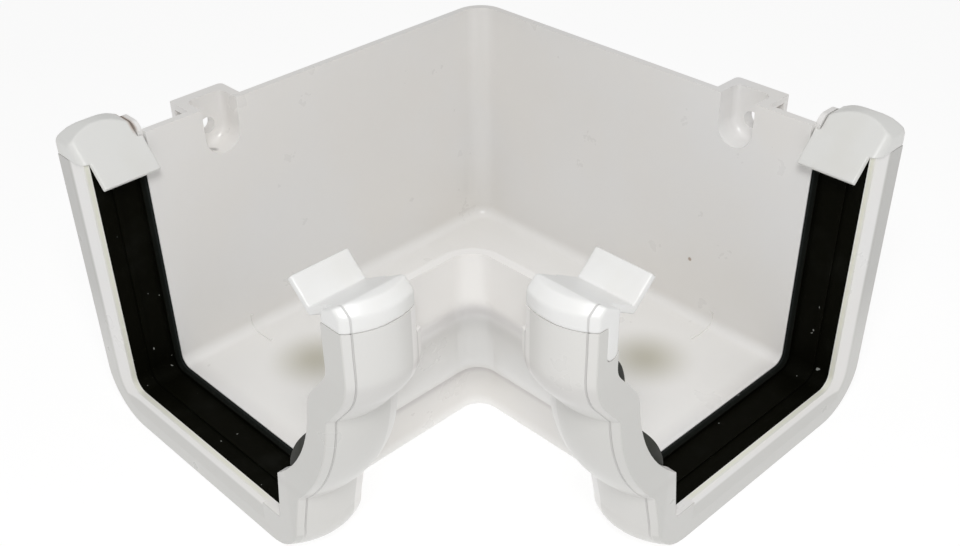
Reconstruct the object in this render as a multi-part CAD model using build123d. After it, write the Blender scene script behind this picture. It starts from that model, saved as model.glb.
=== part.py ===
from build123d import *
import math
import os

# An internal gutter angle: one moulded corner channel with an ogee front, open at both
# ends into a collared socket that holds a rubber seal, with a welded clip over the back
# wall and another over the front wall of each socket.
# The origin is the corner where the two wall planes behind the gutter meet, at the
# height of the underside. One arm runs along +X, the other along +Y, and +Z is up.
# Every shape is drawn for the arm along +X and mirrored onto the other one.

# Driving dimensions in millimetres: plan of the arms
arm_past_front = 45.0       # seat's front to the open end of a socket
socket_length = 20.6        # open end back to the shoulder that the socket widens from
shoulder_wall = 2.0         # thickness of that shoulder, along the arm
rim_width = 3.0             # flange at the open end that keeps the seal in
back_corner_radius = 9.0    # rounding in plan where the two back walls meet
front_corner_radius = 6.5   # rounding in plan where the two front walls meet

# Driving dimensions: the profile that a gutter seats on
seat_back = 11.0            # back of the seat, from the wall plane
seat_base = 11.0            # base of the seat, above the underside
base_front = 86.0           # where the base ends and the front begins
lower_crease_out = 87.9     # top of the drafted lower panel
lower_crease_up = 28.3
lower_crease_belly_radius = 45.0
upper_crease_out = 105.2    # top of the belly, where the slope begins
upper_crease_up = 63.2
front_out = 114.1           # upright upper panel
front_slope_top = 74.0
heel_radius = 4.0           # back to base
toe_radius = 1.5            # base to front
upper_crease_radius = 10.0
brow_radius = 6.0           # slope to upright panel

# Driving dimensions: walls and heights
channel_wall = 2.3
channel_proud = 0.7         # how far the waterway stands inside the seat
socket_proud = 11.0         # seat to the outside of a socket
seal_depth = 6.0            # seat to the floor of the seal groove
back_height = 90.0
front_height = 88.5
back_seam_drop = 3.0        # back height down to the top of a socket's back wall

# Driving dimensions: collar, seal and rim
collar_bow_radius = 17.5    # bow of the collar, seen from above
collar_bow_centre = 11.5    # from the open end back to the fullest point
collar_foot_inset = 0.6     # flared foot of the collar, against a parallel to the seat
collar_foot_drop = 2.2
collar_flare = 1.4
collar_crease_drop = 2.0
bevel_width = 6.0           # lead-in bevel on the rim's back and base
bevel_depth = 1.3
bevel_stop = 8.0            # where the bevel stops on the base, short of the front
seal_ridge_height = 0.6
seal_ridge_width = 1.6
seal_ridge_count = 1
seal_lip_height = 0.5
seal_lip_width = 2.2
seal_clearance = 0.1
seal_front_drop = 1.6       # front height down to the top of a seal's front

# Driving dimensions: fixing lugs on the back walls
lug_setback = 44.4          # open end back to the lug's centre
lug_width = 17.4
lug_hole_drop = 9.4         # back height down to the screw hole
lug_recess_radius = 5.85
lug_plate = 3.7             # plate left behind the screw head
lug_recess_fillet = 2.4
lug_edge_radius = 1.5
lug_hole_diameter = 5.0
lug_pocket_depth = 2.0
lug_pocket_wall = 2.0

# Driving dimensions: back clips, in height from the top of the back wall
clip_gap = 0.3              # clips stand clear of the shoulder ribs beside them
back_clip_crown_rise = 4.6  # top of the hood
back_clip_crown_radius = 17.5
back_clip_crown_setback = 9.8   # open end back to the highest point
back_clip_heel_radius = 2.0
back_clip_tip_reach = 6.6   # past the seat's back
back_clip_tip_drop = 8.7
back_clip_slope = 46.8      # degrees
back_clip_wall = 1.8
back_clip_ceiling_drop = 1.8
back_clip_overhang = 1.5    # plate past the hood's inner end, over the shoulder
back_clip_end_radius = 2.4

# Driving dimensions: front clips, in height from the top of the front wall
front_clip_crown_rise = 6.4
front_clip_wall = 2.0
front_clip_valley_inset = 8.2   # from the upright panel in to the bend
front_clip_valley_drop = 1.7
front_clip_tip_inset = 14.1
front_clip_tip_rise = 3.9
front_clip_slope = 30.0     # degrees, from the valley up to the dome
front_clip_chamfer = 2.4    # brim of the cap
front_clip_overhang = 0.9   # strip past the cap's inner end, over the shoulder
front_clip_plate_end = 3.1  # open end back to the strip's outer edge
clip_leg_drop = 9.5
clip_leg_width = 3.9
clip_leg_depth = 1.8

# Driving dimensions: shoulder ribs and stop marks
back_rib_rise = 2.2
back_rib_reach = 10.0       # from the wall plane out
back_rib_radius = 3.2
front_rib_rise = 3.8
front_rib_radius = 3.0
stop_mark_setback = 45.2    # open end back to the mark
stop_mark_width = 0.9
stop_mark_height = 0.45
stop_mark_reach = 21.5      # from the wall plane, along the base
stop_mark_rise = 17.0       # height up the back wall

# Derived places along the arm
arm_length = front_out + arm_past_front
socket_start = arm_length - socket_length
seal_start = socket_start + shoulder_wall
rim_start = arm_length - rim_width
clip_start = seal_start - clip_gap / 2
rib_end = clip_start - clip_gap
lug_centre = arm_length - lug_setback
stop_mark_place = arm_length - stop_mark_setback

# Derived places out from the wall and in height
groove_back = seat_back - seal_depth
channel_back = seat_back - (channel_wall - channel_proud)
waterway_back = seat_back + channel_proud
waterway_front = front_out - channel_proud
socket_front = front_out + socket_proud
profile_reach = front_out + 2 * socket_proud
above_all = 2 * back_height
lug_hole_height = back_height - lug_hole_drop
back_rib_height = back_height + back_rib_rise
front_rib_height = front_height + front_rib_rise
back_clip_seam = back_height - back_seam_drop
back_clip_crown = back_height + back_clip_crown_rise
back_clip_ceiling = back_height - back_clip_ceiling_drop
back_clip_tip_out = seat_back + back_clip_tip_reach
back_clip_tip_up = back_height - back_clip_tip_drop
front_clip_crown = front_height + front_clip_crown_rise
front_clip_valley_out = front_out - front_clip_valley_inset
front_clip_valley_up = front_height - front_clip_valley_drop
front_clip_tip_out = front_out - front_clip_tip_inset
front_clip_tip_up = front_height + front_clip_tip_rise

mitre = Plane(origin=(0, 0, 0), z_dir=(1, -1, 0))


def across(place):
    """A plane square to the arm: its x is the distance from the wall, its y the height."""
    return Plane(origin=(place, 0, 0), x_dir=(0, 1, 0), z_dir=(1, 0, 0))


def along(out):
    """An upright plane along the arm: its x runs to the socket, its y is the height."""
    return Plane(origin=(0, out, 0), x_dir=(1, 0, 0), z_dir=(0, -1, 0))


def prism(outline, start, end):
    """An outline run straight along the arm between two places."""
    return extrude(across(start) * outline, amount=end - start, dir=(1, 0, 0))


def block(start, end, out_from, out_to, low, high):
    """A plain box given by its limits along the arm, out from the wall and in height."""
    size = Box(end - start, out_to - out_from, high - low)
    return Pos((start + end) / 2, (out_from + out_to) / 2, (low + high) / 2) * size


def both_arms(shape):
    return shape + mirror(shape, about=mitre)


def panel(out_from, out_to, low, high):
    """A rectangle of section, given by its limits."""
    size = Rectangle(out_to - out_from, high - low)
    return Pos((out_from + out_to) / 2, (low + high) / 2) * size


def rounded_corner(sketch, out, up, radius):
    corner = sketch.vertices().sort_by_distance((out, up, 0))[0]
    return fillet(corner, radius)


def seat_profile():
    """The closed profile that the gutter seats on, open topped in use and drawn tall."""
    heel = (seat_back, seat_base)
    toe = (base_front, seat_base)
    lower_crease = (lower_crease_out, lower_crease_up)
    upper_crease = (upper_crease_out, upper_crease_up)
    brow = (front_out, front_slope_top)
    belly = RadiusArc(lower_crease, upper_crease, -lower_crease_belly_radius)
    outline = [
        Line((seat_back, above_all), heel),
        Line(heel, toe),
        Line(toe, lower_crease),
        belly,
        Line(upper_crease, brow),
        Line(brow, (front_out, above_all)),
        Line((front_out, above_all), (seat_back, above_all)),
    ]
    profile = make_face(outline)
    profile = rounded_corner(profile, *heel, heel_radius)
    profile = rounded_corner(profile, *toe, toe_radius)
    profile = rounded_corner(profile, *upper_crease, upper_crease_radius)
    return rounded_corner(profile, *brow, brow_radius)


def parallel(profile, distance):
    """The profile moved out or in by one distance, with its sharp creases kept outwards."""
    kind = Kind.INTERSECTION if distance > 0 else Kind.ARC
    return offset(profile, distance, kind=kind)


def back_corner(outline, end):
    """An outline run along both arms and turned round the upright axis of the back corner."""
    centre = channel_back + back_corner_radius
    inner = outline & panel(-profile_reach, centre, -above_all, above_all)
    axis = Axis((centre, centre, 0), (0, 0, 1))
    corner = revolve(across(centre) * inner, axis=axis, revolution_arc=-90)
    return both_arms(prism(outline, centre, end)) + corner


def front_corner(outline, radius, end):
    """An outline run along both arms and shifted, unturned, round an arc between them."""
    run = prism(outline, -radius, end)
    seam = Plane(origin=(radius, 0, 0), z_dir=(1, -1, 0))
    arm = split(run, bisect_by=seam, keep=Keep.TOP)
    cut_face = section_of(run, seam)
    path = RadiusArc((radius, 0), (0, radius), radius)
    corner = sweep(cut_face, path=path, normal=(-1, 1, 0))
    return both_arms(arm) + corner


def section_of(shape, plane):
    return section(shape, section_by=plane).faces()[0]


def channel_between(profile, distance, wall_shift, end):
    """The corner channel at one distance from the seat, with its own rounding in plan."""
    level = parallel(profile, distance)
    half = (seat_back + base_front) / 2
    overlap = channel_wall
    back = level & panel(-profile_reach, half + overlap, -above_all, above_all)
    front = level & panel(half - overlap, profile_reach, -above_all, above_all)
    return back_corner(back, end) + front_corner(front, front_corner_radius + wall_shift, end)


def bowed_path(start, end):
    """The arc, seen from above, that bows the collars."""
    centre = arm_length - collar_bow_centre
    return ThreePointArc(
        (start, bow_drop(start - centre)),
        (centre, 0),
        (end, bow_drop(end - centre)),
    )


def bow_drop(offset_along):
    """How far the collar's bow has fallen away from its fullest point, as a negative."""
    return math.sqrt(collar_bow_radius**2 - offset_along**2) - collar_bow_radius


def bowed(outline, start, end):
    """An outline run along the arm and shifted, unturned, along the collar's bow."""
    centre = arm_length - collar_bow_centre
    first = bow_drop(start - centre)
    face = (Pos(0, first, 0) * (across(start) * outline)).faces()[0]
    return sweep(face, path=bowed_path(start, end), normal=(1, 0, 0))


def collar_foot():
    """The lowest panel of a collar, which flares out more than the seat behind it."""
    foot = (base_front + socket_proud - collar_foot_inset, seat_base - collar_foot_drop)
    crease_up = lower_crease_up - collar_crease_drop
    crease = (lower_crease_out + socket_proud + collar_flare, crease_up)
    behind = lower_crease_out + socket_proud / 2
    return Polygon((behind, foot[1]), foot, crease, (behind, crease_up), align=None)


def socket_shell(profile):
    """The outside of a socket: square to the wall at the back, bowed along the front."""
    outside = parallel(profile, socket_proud)
    half = (seat_back + base_front) / 2
    overlap = 2 * socket_proud
    back = outside & panel(-profile_reach, half + overlap, -above_all, front_height)
    back -= panel(-profile_reach, half - overlap, back_clip_seam, above_all)
    front = outside & panel(half, profile_reach, -above_all, front_height)
    front += collar_foot()
    return prism(back, socket_start, arm_length) + bowed(front, socket_start, arm_length)


def rim_bevel(profile):
    """The lead-in bevel cut on the rim along the back wall and the base."""
    end_face = parallel(profile, bevel_width)
    inner = across(arm_length - bevel_depth) * profile
    outer = across(arm_length) * end_face
    wedge = loft([inner.faces()[0], outer.faces()[0]], ruled=True)
    reach = block(rim_start, arm_length, 0, base_front - bevel_stop, 0, back_height)
    return wedge & reach


def back_rib():
    """The rounded top of the shoulder wall behind a back clip's plate."""
    outline = panel(0, back_rib_reach, back_clip_seam - socket_proud, back_rib_height)
    outline = rounded_corner(outline, 0, back_rib_height, back_rib_radius)
    outline = rounded_corner(outline, back_rib_reach, back_rib_height, back_rib_radius)
    return prism(outline, socket_start, rib_end)


def front_rib():
    """The rounded top of the shoulder wall beside a front clip."""
    outer = front_out + seal_depth
    outline = panel(waterway_front, outer, front_height - socket_proud, front_rib_height)
    outline = rounded_corner(outline, waterway_front, front_rib_height, front_rib_radius)
    outline = rounded_corner(outline, outer, front_rib_height, front_rib_radius)
    return prism(outline, socket_start, rib_end)


def lug_outline(radius, top):
    """A round-bottomed outline centred on the lug's screw hole, up to a given height."""
    upright = Rectangle(2 * radius, top - lug_hole_height)
    outline = Pos(lug_centre, lug_hole_height) * Circle(radius)
    return outline + Pos(lug_centre, (lug_hole_height + top) / 2) * upright


def lug_boss():
    """The solid of a fixing lug, from the wall plane to the channel's back wall."""
    radius = lug_width / 2
    inner = lug_centre - radius
    outer = lug_centre + radius
    boss = extrude(along(waterway_back) * lug_outline(radius, back_height), amount=waterway_back)
    plan = Pos(lug_centre, waterway_back / 2) * Rectangle(lug_width, waterway_back)
    plan = rounded_corner(plan, inner, 0, lug_edge_radius)
    boss &= extrude(plan, amount=back_height)
    pocket = block(
        outer - lug_pocket_depth,
        outer,
        lug_pocket_wall,
        channel_back,
        lug_hole_height,
        back_height - lug_pocket_wall,
    )
    return boss - pocket


def lug_recess():
    """The round-bottomed recess for the screw head, open at the top and to the channel."""
    start = waterway_back + channel_wall
    outline = lug_outline(lug_recess_radius, above_all)
    recess = extrude(along(start) * outline, amount=start - lug_plate)
    floor = recess.faces().sort_by(Axis.Y)[0]
    recess = fillet(floor.edges().sort_by(Axis.Z)[:-1], lug_recess_fillet)
    bore = Pos(lug_centre, lug_hole_height) * Circle(lug_hole_diameter / 2)
    return recess + extrude(along(start) * bore, amount=2 * start)


def stop_mark(profile):
    """The raised tick in the heel that shows how far a gutter may be pushed in."""
    waterway = parallel(profile, -channel_proud)
    raised = waterway - parallel(profile, -channel_proud - stop_mark_height)
    raised &= panel(0, stop_mark_reach, 0, stop_mark_rise)
    return prism(raised, stop_mark_place, stop_mark_place + stop_mark_width)


def leg_slot():
    """The tongue of a front clip, and the slot for it in the rim's end face."""
    inner = front_out
    low = front_height - clip_leg_drop
    outline = panel(inner, inner + clip_leg_width, low, front_height + front_clip_wall)
    corner = clip_leg_width / 2 - seal_clearance
    outline = rounded_corner(outline, inner, low, corner)
    outline = rounded_corner(outline, inner + clip_leg_width, low, corner)
    return prism(outline, arm_length - clip_leg_depth, arm_length)


def make_body(profile):
    """The channel, sockets, ribs and lugs, which are one moulding."""
    outer_level = channel_wall - channel_proud
    solid = channel_between(profile, outer_level, 0, seal_start)
    solid = trimmed_tops(solid)
    arm_parts = socket_shell(profile) + back_rib() + front_rib() + lug_boss()
    solid += both_arms(arm_parts)
    solid -= channel_between(profile, -channel_proud, channel_wall, seal_start)
    groove = prism(parallel(profile, seal_depth), seal_start, rim_start)
    mouth = prism(profile, rim_start, arm_length)
    cuts = groove + mouth + rim_bevel(profile) + lug_recess() + plate_notch()
    solid -= both_arms(cuts) + mirror(leg_slot(), about=mitre)
    return solid + both_arms(stop_mark(profile))


def trimmed_tops(solid):
    """Cut the tall channel down to its back height and its lower front height."""
    step = (seat_back + front_out) / 2
    reach = 2 * arm_length
    solid -= Pos(reach / 2, reach / 2, back_height + reach / 2) * Box(2 * reach, 2 * reach, reach)
    lower = reach - step
    front = Pos(step + lower / 2, step + lower / 2, front_height + reach / 2)
    return solid - front * Box(lower, lower, reach)


def make_seal(profile):
    """A rubber seal lying in its groove, ribbed along the profile, lipped at its inner edge."""
    start = seal_start + seal_clearance
    end = rim_start - seal_clearance
    bed = parallel(profile, seal_depth)
    face = parallel(profile, seal_ridge_height)
    middle = (seat_back + front_out) / 2
    trim = panel(0, middle, 0, back_clip_seam - seal_clearance)
    trim += panel(middle, profile_reach, 0, front_height - seal_front_drop)
    trim -= parallel(back_clip_plate(back_clip_ceiling), seal_clearance)
    seal = prism((bed - face) & trim, start, end)
    ridge = (face - profile) & trim
    pitch = (end - start - seal_lip_width) / seal_ridge_count
    for index in range(seal_ridge_count):
        place = start + seal_lip_width + (index + 0.5) * pitch
        seal += prism(ridge, place, place + seal_ridge_width)
    lip = (face - parallel(profile, -seal_lip_height)) & trim
    return seal + prism(lip, start, start + seal_lip_width)


def back_clip_face(height):
    """How far out the upper face of a back clip's sloping plate is, at a height."""
    fall = height - back_clip_tip_up
    return back_clip_tip_out - fall / math.tan(math.radians(back_clip_slope))


def back_clip_under(height):
    """How far out the under face of that plate is, at a height."""
    return back_clip_face(height) - back_clip_wall / math.sin(math.radians(back_clip_slope))


def back_clip_plate(top):
    """The section of the sloping plate that keeps the gutter's back edge down."""
    slope = math.radians(back_clip_slope)
    under_tip = (
        back_clip_tip_out - back_clip_wall * math.sin(slope),
        back_clip_tip_up - back_clip_wall * math.cos(slope),
    )
    return Polygon(
        (back_clip_face(top), top),
        (back_clip_tip_out, back_clip_tip_up),
        under_tip,
        (back_clip_under(top), top),
        align=None,
    )


def plate_overhang():
    """The end of that plate that reaches past the hood and over the shoulder."""
    past_rib = panel(back_rib_reach + clip_gap, profile_reach, 0, above_all)
    return back_clip_plate(back_clip_crown) & past_rib


def plate_notch():
    """The clearance cut in the shoulder wall under and above the plate's overhang."""
    under = [(back_clip_under(height), height) for height in (back_clip_tip_up, back_clip_crown)]
    over = (profile_reach, back_clip_crown)
    above_plate = Polygon(*under, over, (profile_reach, back_clip_tip_up), align=None)
    cleared = parallel(above_plate, clip_gap)
    past_wall = cleared & panel(channel_back, profile_reach, 0, above_all)
    past_rib = cleared & panel(back_rib_reach, profile_reach, 0, above_all)
    return prism(past_rib, socket_start, rib_end) + prism(past_wall, rib_end, seal_start)


def make_back_clip():
    """The welded hood over the socket's back wall, with its sloping retaining plate."""
    low = back_clip_seam
    hood = Polygon(
        (0, low),
        (0, back_clip_crown),
        (back_clip_face(back_clip_crown), back_clip_crown),
        (back_clip_face(low), low),
        align=None,
    )
    hood = rounded_corner(hood, 0, back_clip_crown, back_clip_heel_radius)
    hollow = panel(groove_back, profile_reach, low, back_clip_ceiling)
    clip = prism(hood, clip_start, arm_length) & under_crown()
    clip -= prism(hollow, clip_start, rim_start)
    clip += prism(back_clip_plate(back_clip_ceiling), clip_start, rim_start)
    clip += prism(plate_overhang(), clip_start - back_clip_overhang, clip_start)
    end_edges = [
        edge
        for edge in clip.edges()
        if abs(edge.center().X - arm_length) < clip_gap
        and edge.center().Z > low + clip_gap
        and edge.center().Y > clip_gap
    ]
    return fillet(end_edges, back_clip_end_radius)


def under_crown():
    """All that lies under the hood's crown, an arc seen from the front of the wall."""
    middle = arm_length - back_clip_crown_setback
    crown = Pos(middle, back_clip_crown - back_clip_crown_radius) * Circle(back_clip_crown_radius)
    return extrude(along(profile_reach) * crown, amount=profile_reach)


def front_clip_strap():
    """The bent strip of a front clip, from its dome down to the valley and up to its tip."""
    rise = front_clip_crown - front_clip_valley_up
    dome_out = front_clip_valley_out + rise / math.tan(math.radians(front_clip_slope))
    bend = Polyline(
        (dome_out, front_clip_crown),
        (front_clip_valley_out, front_clip_valley_up),
        (front_clip_tip_out, front_clip_tip_up),
    )
    band = offset(bend, front_clip_wall, side=Side.LEFT, kind=Kind.INTERSECTION)
    return make_face(band.edges())


def front_clip_cap():
    """The section of the cap over the collar, with its crown and its slope inwards."""
    slope = math.tan(math.radians(front_clip_slope))
    crown_out = front_clip_valley_out + (front_clip_crown - front_clip_valley_up) / slope
    inner_up = front_clip_valley_up + (front_out - front_clip_valley_out) * slope
    return Polygon(
        (front_out, front_height),
        (socket_front, front_height),
        (socket_front, front_clip_crown),
        (crown_out, front_clip_crown),
        (front_out, inner_up),
        align=None,
    )


def make_front_clip():
    """The welded cap over the collar, with the springy strip that hooks the gutter's front."""
    bow_axis = (arm_length - collar_bow_centre, socket_front - collar_bow_radius)
    drum = Pos(*bow_axis, front_clip_crown / 2) * Cylinder(collar_bow_radius, front_clip_crown)
    drum = chamfer(drum.edges().sort_by(Axis.Z)[-1], front_clip_chamfer)
    cap = prism(front_clip_cap(), clip_start, arm_length) & drum
    strip = front_clip_strap()
    strip_end = strip & panel(0, waterway_front - clip_gap, 0, above_all)
    clip = cap + prism(strip, clip_start, arm_length - front_clip_plate_end)
    return clip + prism(strip_end, clip_start - front_clip_overhang, clip_start)


def export_all():
    profile = seat_profile()
    os.makedirs("parts", exist_ok=True)
    body = make_body(profile)
    seal = make_seal(profile)
    back_clip = make_back_clip()
    front_clip = make_front_clip()
    parts = {
        "body": body,
        "seal_left": seal,
        "seal_right": mirror(seal, about=mitre),
        "back_clip_left": back_clip,
        "back_clip_right": mirror(back_clip, about=mitre),
        "front_clip_left": front_clip,
        "front_clip_right": mirror(front_clip, about=mitre) + mirror(leg_slot(), about=mitre),
    }
    for name, shape in parts.items():
        export_step(shape, f"parts/{name}.step")


export_all()
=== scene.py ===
import bmesh
import bpy
from mathutils import Matrix, Vector


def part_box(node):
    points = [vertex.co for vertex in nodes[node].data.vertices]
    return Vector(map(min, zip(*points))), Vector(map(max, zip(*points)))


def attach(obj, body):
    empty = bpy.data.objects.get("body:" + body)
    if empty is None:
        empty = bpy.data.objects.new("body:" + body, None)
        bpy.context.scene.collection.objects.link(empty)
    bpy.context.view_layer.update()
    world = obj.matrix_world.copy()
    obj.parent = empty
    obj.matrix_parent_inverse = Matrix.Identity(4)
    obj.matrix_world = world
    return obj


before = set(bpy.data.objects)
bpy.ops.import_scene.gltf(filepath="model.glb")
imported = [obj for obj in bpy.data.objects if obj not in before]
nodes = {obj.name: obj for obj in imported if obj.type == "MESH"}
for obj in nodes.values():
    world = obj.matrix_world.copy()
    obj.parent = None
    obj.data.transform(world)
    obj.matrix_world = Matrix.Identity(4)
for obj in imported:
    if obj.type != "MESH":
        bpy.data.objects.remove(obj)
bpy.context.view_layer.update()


# The moulding: one piece of white PVC-U, injection moulded, so it is glossy and nearly
# even, with faint flow marks, a warm cast low on the walls and a fine parting line where
# the mould halves met round the collars. Painted light and shade lie on it too: a lighter
# gutter floor, darker creases, belly, collars and rim faces, and a painted shadow under
# each front clip.
MM = 0.001


class Wire:
    """One socket in a material. Sums written with it add the nodes that work them out."""

    def __init__(self, paint, socket):
        self.paint = paint
        self.socket = socket

    def __add__(self, other):
        return self.paint.maths("ADD", self, other)

    def __sub__(self, other):
        return self.paint.maths("SUBTRACT", self, other)

    def __rsub__(self, other):
        return self.paint.maths("SUBTRACT", other, self)

    def __mul__(self, other):
        return self.paint.maths("MULTIPLY", self, other)

    __radd__ = __add__
    __rmul__ = __mul__


class Paint:
    """A material made of nodes, with the few mask shapes that this object's finishes use.

    Its x, y and z are places in the shared frame. Its along and out fold both arms onto
    one: along the arm from the corner, and out from the wall behind the gutter.
    """

    def __init__(self, name):
        self.material = bpy.data.materials.new(name)
        self.material.use_nodes = True
        self.tree = self.material.node_tree
        self.shader = self.tree.nodes["Principled BSDF"]
        self.place = self.node("ShaderNodeTexCoord", out="Object")
        parts = self.node("ShaderNodeSeparateXYZ", values={"Vector": self.place}, out=None)
        self.x, self.y, self.z = (Wire(self, parts.outputs[axis]) for axis in "XYZ")
        self.along = self.maths("MAXIMUM", self.x, self.y)
        self.out = self.maths("MINIMUM", self.x, self.y)
        arm_parts = {"X": self.along, "Y": self.out, "Z": self.z}
        self.arm_place = self.node("ShaderNodeCombineXYZ", values=arm_parts)

    def node(self, kind, settings=None, values=None, out=0):
        """Adds a node, sets it up, feeds its sockets and gives one of its outputs."""
        made = self.tree.nodes.new(kind)
        for name, value in (settings or {}).items():
            setattr(made, name, value)
        for name, value in (values or {}).items():
            if isinstance(value, Wire):
                self.tree.links.new(value.socket, made.inputs[name])
            else:
                made.inputs[name].default_value = value
        return made if out is None else Wire(self, made.outputs[out])

    def maths(self, operation, first, second):
        return self.node("ShaderNodeMath", {"operation": operation}, {0: first, 1: second})

    def rise(self, value, start, end):
        """A mask that goes smoothly from 0 at start to 1 at end."""
        return self.node(
            "ShaderNodeMapRange",
            {"interpolation_type": "SMOOTHSTEP"},
            {"Value": value, "From Min": start, "From Max": end},
        )

    def past(self, length, start, end):
        """A mask that goes smoothly from 0 to 1 between two places, in mm."""
        return self.rise(length, start * MM, end * MM)

    def before(self, length, start, end):
        """A mask that goes smoothly from 1 to 0 between two places, in mm."""
        return 1 - self.past(length, start, end)

    def line(self, length, centre, half_width):
        """A mask that is 1 on a line and falls to 0 on both sides of it, in mm."""
        near_side = self.past(length, centre - half_width, centre)
        return near_side - self.past(length, centre, centre + half_width)

    def spot(self, place, centre, radius, softness=1.0):
        """A mask that is 1 round a point and falls to 0 at a radius from it, in mm."""
        distance = self.node(
            "ShaderNodeVectorMath",
            {"operation": "DISTANCE"},
            {0: place, 1: tuple(Vector(centre) * MM)},
            out="Value",
        )
        return self.before(distance, radius * (1 - softness), radius)

    def noise(self, scale, detail=2.0, roughness=0.5, stretch=(1, 1, 1)):
        place = self.node(
            "ShaderNodeVectorMath", {"operation": "MULTIPLY"}, {0: self.place, 1: stretch}
        )
        return self.node(
            "ShaderNodeTexNoise",
            values={"Vector": place, "Scale": scale, "Detail": detail, "Roughness": roughness},
        )

    def mix(self, mask, first, second):
        """Colour first where the mask is 0, second where it is 1."""
        made = self.node("ShaderNodeMix", {"data_type": "RGBA"}, out=None)
        sockets = {"Factor": made.inputs[0], "A": made.inputs[6], "B": made.inputs[7]}
        for name, value in (("Factor", mask), ("A", first), ("B", second)):
            if isinstance(value, Wire):
                self.tree.links.new(value.socket, sockets[name])
            else:
                sockets[name].default_value = value if name == "Factor" else (*value, 1.0)
        return Wire(self, made.outputs[2])

    def layer(self, colour, coats):
        """Lays coats over a colour in turn: each has a mask, a tint and a strength."""
        for mask, tint, strength in coats:
            colour = self.mix(mask * strength, colour, tint)
        return colour

    def feed(self, name, value):
        """Sets or links a socket of the shader."""
        if isinstance(value, Wire):
            self.tree.links.new(value.socket, self.shader.inputs[name])
        else:
            self.shader.inputs[name].default_value = value

    def dull(self, smears, least, spread):
        """Sets the roughness, which grows from the least where the surface is smeared."""
        self.feed("Roughness", least + spread * smears)

    def relief(self, shapes, depth):
        """Raises the surface by shapes, each with its weight, to a depth in mm."""
        height = 0.0
        for shape, weight in shapes:
            height = weight * shape + height
        bump = self.node("ShaderNodeBump", values={"Height": height, "Distance": depth * MM})
        self.feed("Normal", bump)


def dress(node, paint):
    """Gives a CAD node its finished material."""
    for slot in nodes[node].material_slots:
        slot.material = paint.material


# Colours of the moulding, of the painted shade and light on its parts, of the painted shadow
# under the front clips and of what has dried on it
moulding_white = (0.84, 0.822, 0.797)
moulding_cool = (0.84, 0.833, 0.825)
moulding_warm = (0.81, 0.775, 0.715)
base_painted_light = (0.93, 0.92, 0.90)
lip_cream = (0.82, 0.82, 0.69)
crease_painted_shade = (0.56, 0.53, 0.53)
seam_grey = (0.33, 0.32, 0.31)
painted_shade_grey = (0.60, 0.595, 0.57)
back_rim_painted_shade = (0.45, 0.445, 0.43)
painted_shadow_olive = (0.41, 0.385, 0.27)
solvent_brown = (0.30, 0.17, 0.09)
nick_painted_shade = (0.12, 0.11, 0.10)

# Places in mm: one number is a place, and a pair is where a change starts and ends
open_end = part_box("body")[1].x / MM
parting_place = open_end - 2.0
parting_half_width = 0.28
parting_out = (92, 95)
channel_out = (8, 12)
channel_end = (134, 140)
warm_height = (11, 46)
base_height = (12, 16)
mouth_place = open_end - 2.2
mouth_half_width = 1.3
mouth_edge = (8.5, 9.5)
mouth_front = (76, 80)
front_out = (84, 86)
brow_foot = (61, 65)
brow_top = (72, 75)
crease_height = 26.6
crease_half_width = 2.6
belly_foot = (28, 36)
belly_top = (58, 64)
shoulder_place = open_end - 19.0
shoulder_half_width = 0.35
shoulder_out = (114.1, 116.1)
collar_start = (open_end - 17.0, open_end - 16.5)
collar_out = (90, 92)
rim_start = (open_end - 0.35, open_end - 0.1)
bevel_start = (open_end - 1.7, open_end - 1.4)
bevel_height = (8.3, 9.3)
back_rim_height = (20, 50)
back_rim_out = (12, 14)

# Marks in mm: a painted shadow on the base under each front clip, a dried drop on the right
# wall, painted shade in a nick in the left lug, and adhesive along the left hood's inner end
clip_shadow_centre = (110.5, 39, 10)
clip_shadow_radius = 17
clip_shadow_height = (10.2, 11.2)
drop_centre = (11.7, 104.0, 32.0)
drop_radius = 0.8
drop_softness = 0.5
nick_centre = (116.3, 8, 76.0)
nick_radius = 2.2
nick_softness = 0.7
glue_place = 140.4
glue_half_width = 1.1
glue_height = (89.0, 91.0)
glue_out = (12.2, 13.0)
glue_strength = 0.6


def glue_line(paint):
    """A mask of the adhesive, which the moulding and the hood share."""
    line = paint.line(paint.x, glue_place, glue_half_width)
    return line * paint.past(paint.z, *glue_height) * paint.before(paint.y, *glue_out)


moulding = Paint("white_moulding")
along, out, height = moulding.along, moulding.out, moulding.z

channel = moulding.past(out, *channel_out) * moulding.before(along, *channel_end)
low_wall = channel * moulding.before(height, *warm_height)
base = channel * moulding.before(height, *base_height)
mouth = moulding.line(along, mouth_place, mouth_half_width)
mouth = mouth * moulding.past(out, *mouth_edge) * moulding.past(height, *mouth_edge)
mouth = mouth * moulding.before(out, *mouth_front)
ogee_front = moulding.past(out, *front_out)
brow = moulding.past(height, *brow_foot) * moulding.before(height, *brow_top)
crease = moulding.line(height, crease_height, crease_half_width)
belly = moulding.past(height, *belly_foot) * moulding.before(height, *belly_top)
parting = moulding.line(along, parting_place, parting_half_width)
parting = parting * moulding.past(out, *parting_out)
shoulder = moulding.line(along, shoulder_place, shoulder_half_width)
shoulder = shoulder * moulding.past(out, *shoulder_out)
collar = moulding.past(along, *collar_start) * moulding.past(out, *collar_out)
base_bevel = moulding.past(along, *bevel_start) * moulding.before(height, *bevel_height)
rim_face = moulding.maths("MAXIMUM", moulding.past(along, *rim_start), base_bevel)
back_rim = moulding.past(height, *back_rim_height) * moulding.before(out, *back_rim_out)
clip_shadow = moulding.spot(moulding.arm_place, clip_shadow_centre, clip_shadow_radius)
clip_shadow = clip_shadow * moulding.past(height, *clip_shadow_height)
drop = moulding.spot(moulding.place, drop_centre, drop_radius, drop_softness)
nick = moulding.spot(moulding.place, nick_centre, nick_radius, nick_softness)

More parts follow.
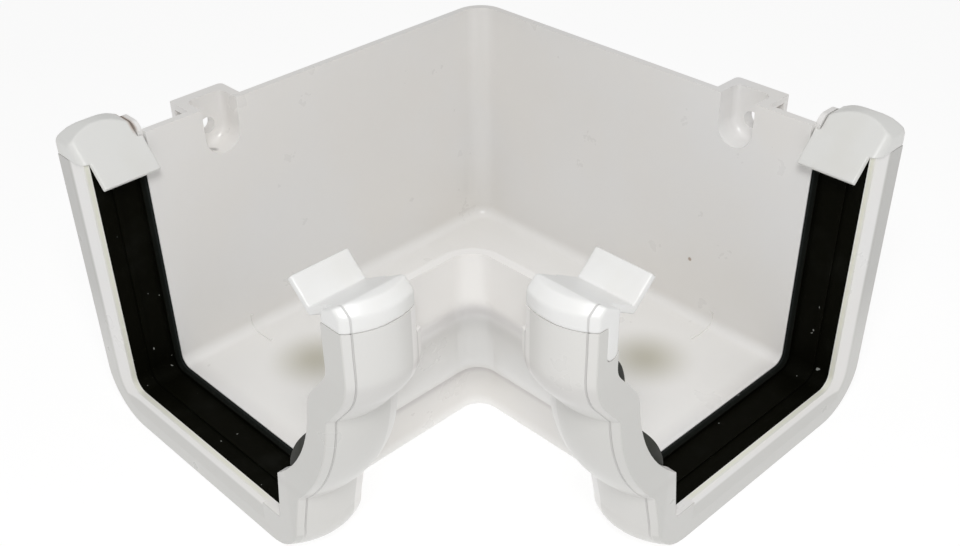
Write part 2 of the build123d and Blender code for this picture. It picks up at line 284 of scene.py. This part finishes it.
cloud = moulding.rise(moulding.noise(scale=22.0, detail=3.0), start=0.35, end=0.7)
colour = moulding.layer(
    moulding.mix(cloud, moulding_white, moulding_cool),
    (
        (low_wall, moulding_warm, 0.22),
        # painted light: the gutter's floor is painted lighter, where it faces up to the light
        (base, base_painted_light, 0.8),
        (mouth, lip_cream, 0.8),
        # painted shade under the brow and in the crease of the front's curves
        (brow * ogee_front, crease_painted_shade, 0.42),
        (crease * ogee_front, crease_painted_shade, 0.6),
        (parting, seam_grey, 0.42),
        # painted shade on the belly of the front
        (belly * ogee_front, painted_shade_grey, 0.5),
        (shoulder, seam_grey, 0.35),
        # painted shade on the collars and on the rims' end faces
        (collar, painted_shade_grey, 0.6),
        (rim_face, painted_shade_grey, 0.8),
        # painted shade: the back rims' upper end faces, darker still
        (rim_face * back_rim, back_rim_painted_shade, 0.6),
        # painted shadow of the front clips on the gutter's floor
        (clip_shadow, painted_shadow_olive, 0.7),
        (glue_line(moulding), solvent_brown, glue_strength),
        (drop, solvent_brown, 0.7),
        # painted shade in a nick on the left lug
        (nick, nick_painted_shade, 0.75),
    ),
)
smears = moulding.noise(scale=60.0, detail=4.0, roughness=0.6)
orange_peel = moulding.noise(scale=420.0)
flow = moulding.noise(scale=30.0, stretch=(1, 1, 0.35))
shapes = ((orange_peel, 0.16), (flow, 1.2), (parting, -0.9), (shoulder, -0.6))
moulding.feed("Base Color", colour)
moulding.dull(smears, least=0.22, spread=0.16)
moulding.relief(shapes, depth=0.25)
moulding.feed("IOR", 1.53)
moulding.feed("Coat Weight", 0.1)
moulding.feed("Coat Roughness", 0.12)
dress("body", moulding)


# The clips: four small mouldings of the same plastic, stuck over the socket walls. Their
# arrises are worn soft, the parting line runs on over the front ones, and a brown line of
# adhesive stands along one of the back ones. The back ones' white is painted darker, as
# painted shade.
clip_white = (0.80, 0.80, 0.79)
clip_warm = (0.76, 0.75, 0.72)
# the back clips' copy of the white, painted darker as painted shade
hood_shaded_white = (0.755, 0.755, 0.735)
hood_shaded_warm = (0.71, 0.70, 0.66)
clip_seam_out = (118, 119)
skin_grain = 0.3
softening = {"front_clip_": 16, "back_clip_": 8}


def clip_paint(name, fresh, handled):
    """Glossy white plastic with soft blotches and the mould's parting line."""
    paint = Paint(name)
    blotches = paint.rise(paint.noise(scale=70.0, detail=3.0), start=0.4, end=0.75)
    seam = paint.line(paint.along, parting_place, parting_half_width)
    seam = seam * paint.past(paint.out, *clip_seam_out)
    coats = (
        (blotches, handled, 0.5),
        (seam, seam_grey, 0.3),
        (glue_line(paint), solvent_brown, glue_strength),
    )
    smears = paint.noise(scale=90.0, detail=4.0, roughness=0.6)
    orange_peel = paint.noise(scale=380.0)
    flow = paint.noise(scale=60.0)
    paint.feed("Base Color", paint.layer(fresh, coats))
    paint.dull(smears, least=0.25, spread=0.18)
    paint.relief(((orange_peel, 0.25), (flow, 0.9), (seam, -0.9)), depth=0.2)
    paint.feed("IOR", 1.53)
    return paint


clip_paints = {
    "front_clip_": clip_paint("front_clip_white", clip_white, clip_warm),
    "back_clip_": clip_paint("back_clip_shaded_white", hood_shaded_white, hood_shaded_warm),
}
for side in ("left", "right"):
    for kind in ("front_clip_", "back_clip_"):
        dress(kind + side, clip_paints[kind])
        skin = nodes[kind + side].modifiers.new("moulded_skin", "REMESH")
        skin.mode = "VOXEL"
        skin.voxel_size = skin_grain * MM
        skin.use_smooth_shade = True
        soft_edges = nodes[kind + side].modifiers.new("soft_edges", "SMOOTH")
        soft_edges.factor = 0.5
        soft_edges.iterations = softening[kind]


# The seals: moulded black rubber, pressed into the groove of each socket, deep black with
# a painted sheen and a painted highlight line on the inner lip, and a few specks of grit.
rubber_black = (0.0032, 0.0032, 0.0018)
rubber_worn = (0.0075, 0.0078, 0.006)
grit_grey = (0.30, 0.31, 0.29)
lip_painted_sheen = (0.010, 0.0125, 0.0115)
lip_painted_highlight = (0.045, 0.052, 0.052)
lip_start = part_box("seal_left")[0].x / MM
lip_end = lip_start + 2.2
lip_round = 0.3
lip_edge_place = lip_end - 1.7
lip_edge_half_width = 0.5

rubber = Paint("black_rubber")
smear = rubber.noise(scale=55.0, detail=4.0, roughness=0.6)
worn = rubber.rise(smear, start=0.5, end=0.8)
grit = rubber.rise(rubber.noise(scale=520.0, detail=1.0), start=0.775, end=0.80)
lip_face = rubber.before(rubber.along, lip_end - lip_round, lip_end)
lip_edge = rubber.line(rubber.along, lip_edge_place, lip_edge_half_width)
pores = rubber.noise(scale=900.0, detail=3.0)
coats = (
    (worn, rubber_worn, 1.0),
    (grit, grit_grey, 1.0),
    # painted sheen and painted highlight line on the seal's inner lip
    (lip_face, lip_painted_sheen, 0.4),
    (lip_edge, lip_painted_highlight, 0.25),
)
rubber.feed("Base Color", rubber.layer(rubber_black, coats))
rubber.dull(smear, least=0.36, spread=0.2)
rubber.relief(((pores, 0.5), (smear, 1.5)), depth=0.08)
rubber.feed("IOR", 1.5)
rubber.feed("Specular IOR Level", 0.02)
dress("seal_left", rubber)
dress("seal_right", rubber)


# The seals' loose folds: the rubber is too stiff to follow the front's curves, so it stands
# out of its groove over the belly and the slope, and a dusty fold of it shows past the rim.
fold_dark = (0.012, 0.0125, 0.008)
fold_dusty = (0.032, 0.034, 0.025)

# In mm: places along the arm with the fold's fullness there, and its sections, which are
# pairs of points, out and up: one on the fold's face, and the one on the seat behind it
fold_fullness = ((147.0, 0.0), (150.0, 0.3), (153.0, 0.75), (155.5, 1.0), (156.0, 0.9))
fold_backing = 0.6
fold_rounding = 2
low_fold = (
    ((88.2, 28.5), (89.4, 28.5)),
    ((89.6, 34.0), (93.4, 34.0)),
    ((92.9, 39.9), (97.0, 39.9)),
    ((96.8, 44.6), (99.8, 44.6)),
    ((101.2, 49.6), (102.4, 50.0)),
)
high_fold = (
    ((106.4, 64.6), (107.4, 64.6)),
    ((106.9, 68.2), (110.2, 68.2)),
    ((108.0, 71.8), (112.6, 71.8)),
    ((110.2, 75.0), (114.4, 75.0)),
    ((113.6, 77.6), (114.6, 78.0)),
)

folded_rubber = Paint("folded_rubber")
dust = folded_rubber.noise(scale=160.0, detail=3.0)
dust = folded_rubber.rise(dust, start=0.4, end=0.7)
folded_rubber.feed("Base Color", folded_rubber.mix(dust, fold_dark, fold_dusty))
folded_rubber.dull(dust, least=0.5, spread=0.2)
folded_rubber.relief(((dust, 1.0),), depth=0.05)
folded_rubber.feed("Specular IOR Level", 0.2)


def fold_ring(section, fullness):
    """The fold's outline at one place along the arm, as points out and up."""
    face = [
        (seat_out + (face_out - seat_out) * fullness, face_up)
        for (face_out, face_up), (seat_out, seat_up) in section
    ]
    back = [(seat_out + fold_backing, seat_up) for face_at, (seat_out, seat_up) in section]
    return face + back[::-1]


def seal_fold(name, side, section):
    """A swollen strip of rubber behind the rim of one socket."""
    form = bmesh.new()
    rings = []
    for along, fullness in fold_fullness:
        ring = []
        for out, up in fold_ring(section, fullness):
            place = (along, out, up) if side == "left" else (out, along, up)
            ring.append(form.verts.new(Vector(place) * MM))
        rings.append(ring)
    for first, second in zip(rings, rings[1:]):
        for step in range(len(first)):
            after = (step + 1) % len(first)
            form.faces.new((first[step], first[after], second[after], second[step]))
    form.faces.new(rings[0])
    form.faces.new(rings[-1])
    bmesh.ops.recalc_face_normals(form, faces=form.faces)
    mesh = bpy.data.meshes.new(name)
    form.to_mesh(mesh)
    form.free()
    mesh.polygons.foreach_set("use_smooth", [True] * len(mesh.polygons))
    mesh.materials.append(folded_rubber.material)
    piece = bpy.data.objects.new(name, mesh)
    bpy.context.scene.collection.objects.link(piece)
    rounding = piece.modifiers.new("rounding", "SUBSURF")
    rounding.levels = rounding.render_levels = fold_rounding
    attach(piece, "root")


seal_fold("seal_fold_left", "left", low_fold)
seal_fold("seal_fold_right", "right", low_fold)
seal_fold("seal_fold_right_upper", "right", high_fold)


# The floor: a seamless sheet of white photographer's board, lit from below like a light
# table, so it is nearly as bright as the paper of a catalogue page.
floor_white = (0.25, 0.25, 0.25)
floor_grain = (0.26, 0.26, 0.258)
floor_glow = 0.8
floor_half = 3.0
floor_corners = [(-1, -1, 0), (1, -1, 0), (1, 1, 0), (-1, 1, 0)]
floor_mesh = bpy.data.meshes.new("floor")
floor_mesh.from_pydata(
    [Vector(corner) * floor_half for corner in floor_corners], [], [(0, 1, 2, 3)]
)
floor = bpy.data.objects.new("floor", floor_mesh)
bpy.context.scene.collection.objects.link(floor)
board = Paint("white_board")
board_grain = board.noise(scale=6.0, detail=3.0)
board.feed("Base Color", board.mix(board_grain, floor_white, floor_grain))
board.feed("Roughness", 0.9)
board.feed("Emission Color", (1.0, 1.0, 1.0, 1.0))
board.feed("Emission Strength", floor_glow)
board.feed("Specular IOR Level", 0.1)
floor_mesh.materials.append(board.material)


# The light: a flash with a small diffuser just above the camera, a white room all round,
# a pale ceiling, and the bright board below, which lights the undersides.
room_strength = 0.38
flash_place = Vector((0.279, 0.289, 0.36))
flash_aim = Vector((0.1, 0.1, 0.05))
flash_size = 0.1
flash_power = 0.7
ceiling_place = (0.1, 0.1, 1.25)
ceiling_size = 1.3
ceiling_power = 3.2

world = bpy.data.worlds.new("white_room")
world.use_nodes = True
backdrop = world.node_tree.nodes["Background"]
backdrop.inputs["Color"].default_value = (1.0, 1.0, 1.0, 1.0)
backdrop.inputs["Strength"].default_value = room_strength
bpy.context.scene.world = world

flash = bpy.data.lights.new("flash", "AREA")
flash.shape = "DISK"
flash.size = flash_size
flash.energy = flash_power
flash_holder = bpy.data.objects.new("flash", flash)
flash_holder.location = flash_place
flash_holder.rotation_euler = (flash_aim - flash_place).to_track_quat("-Z", "Y").to_euler()
bpy.context.scene.collection.objects.link(flash_holder)

ceiling = bpy.data.lights.new("ceiling_bounce", "AREA")
ceiling.shape = "SQUARE"
ceiling.size = ceiling_size
ceiling.energy = ceiling_power
ceiling_holder = bpy.data.objects.new("ceiling_bounce", ceiling)
ceiling_holder.location = ceiling_place
bpy.context.scene.collection.objects.link(ceiling_holder)
bpy.context.scene.view_settings.view_transform = "Standard"


# The camera: the photograph's own viewpoint, found from the object's right angles, with
# the small shift that its cropped frame needs.
eye = Vector((279.0, 288.7, 238.5)) * MM
sight = Vector((-0.5526, -0.6005, -0.5780)).normalized()
level = Vector((-0.7241, 0.6892, -0.0237)).normalized()
frame_width = 960
focal_pixels = 1214.8
sensor_width = 36.0
lens_axis = (461.0, 312.8)
frame_centre = (480, 273)
near_limit = 0.01

camera_data = bpy.data.cameras.new("camera")
camera_data.sensor_width = sensor_width
camera_data.sensor_fit = "HORIZONTAL"
camera_data.lens = focal_pixels / frame_width * sensor_width
camera_data.shift_x = (frame_centre[0] - lens_axis[0]) / frame_width
camera_data.shift_y = (lens_axis[1] - frame_centre[1]) / frame_width
camera_data.clip_start = near_limit
camera = bpy.data.objects.new("camera", camera_data)
upright = level.cross(sight)
axes = Matrix((level, upright, -sight)).transposed()
camera.matrix_world = Matrix.Translation(eye) @ axes.to_4x4()
bpy.context.scene.collection.objects.link(camera)
bpy.context.scene.camera = camera
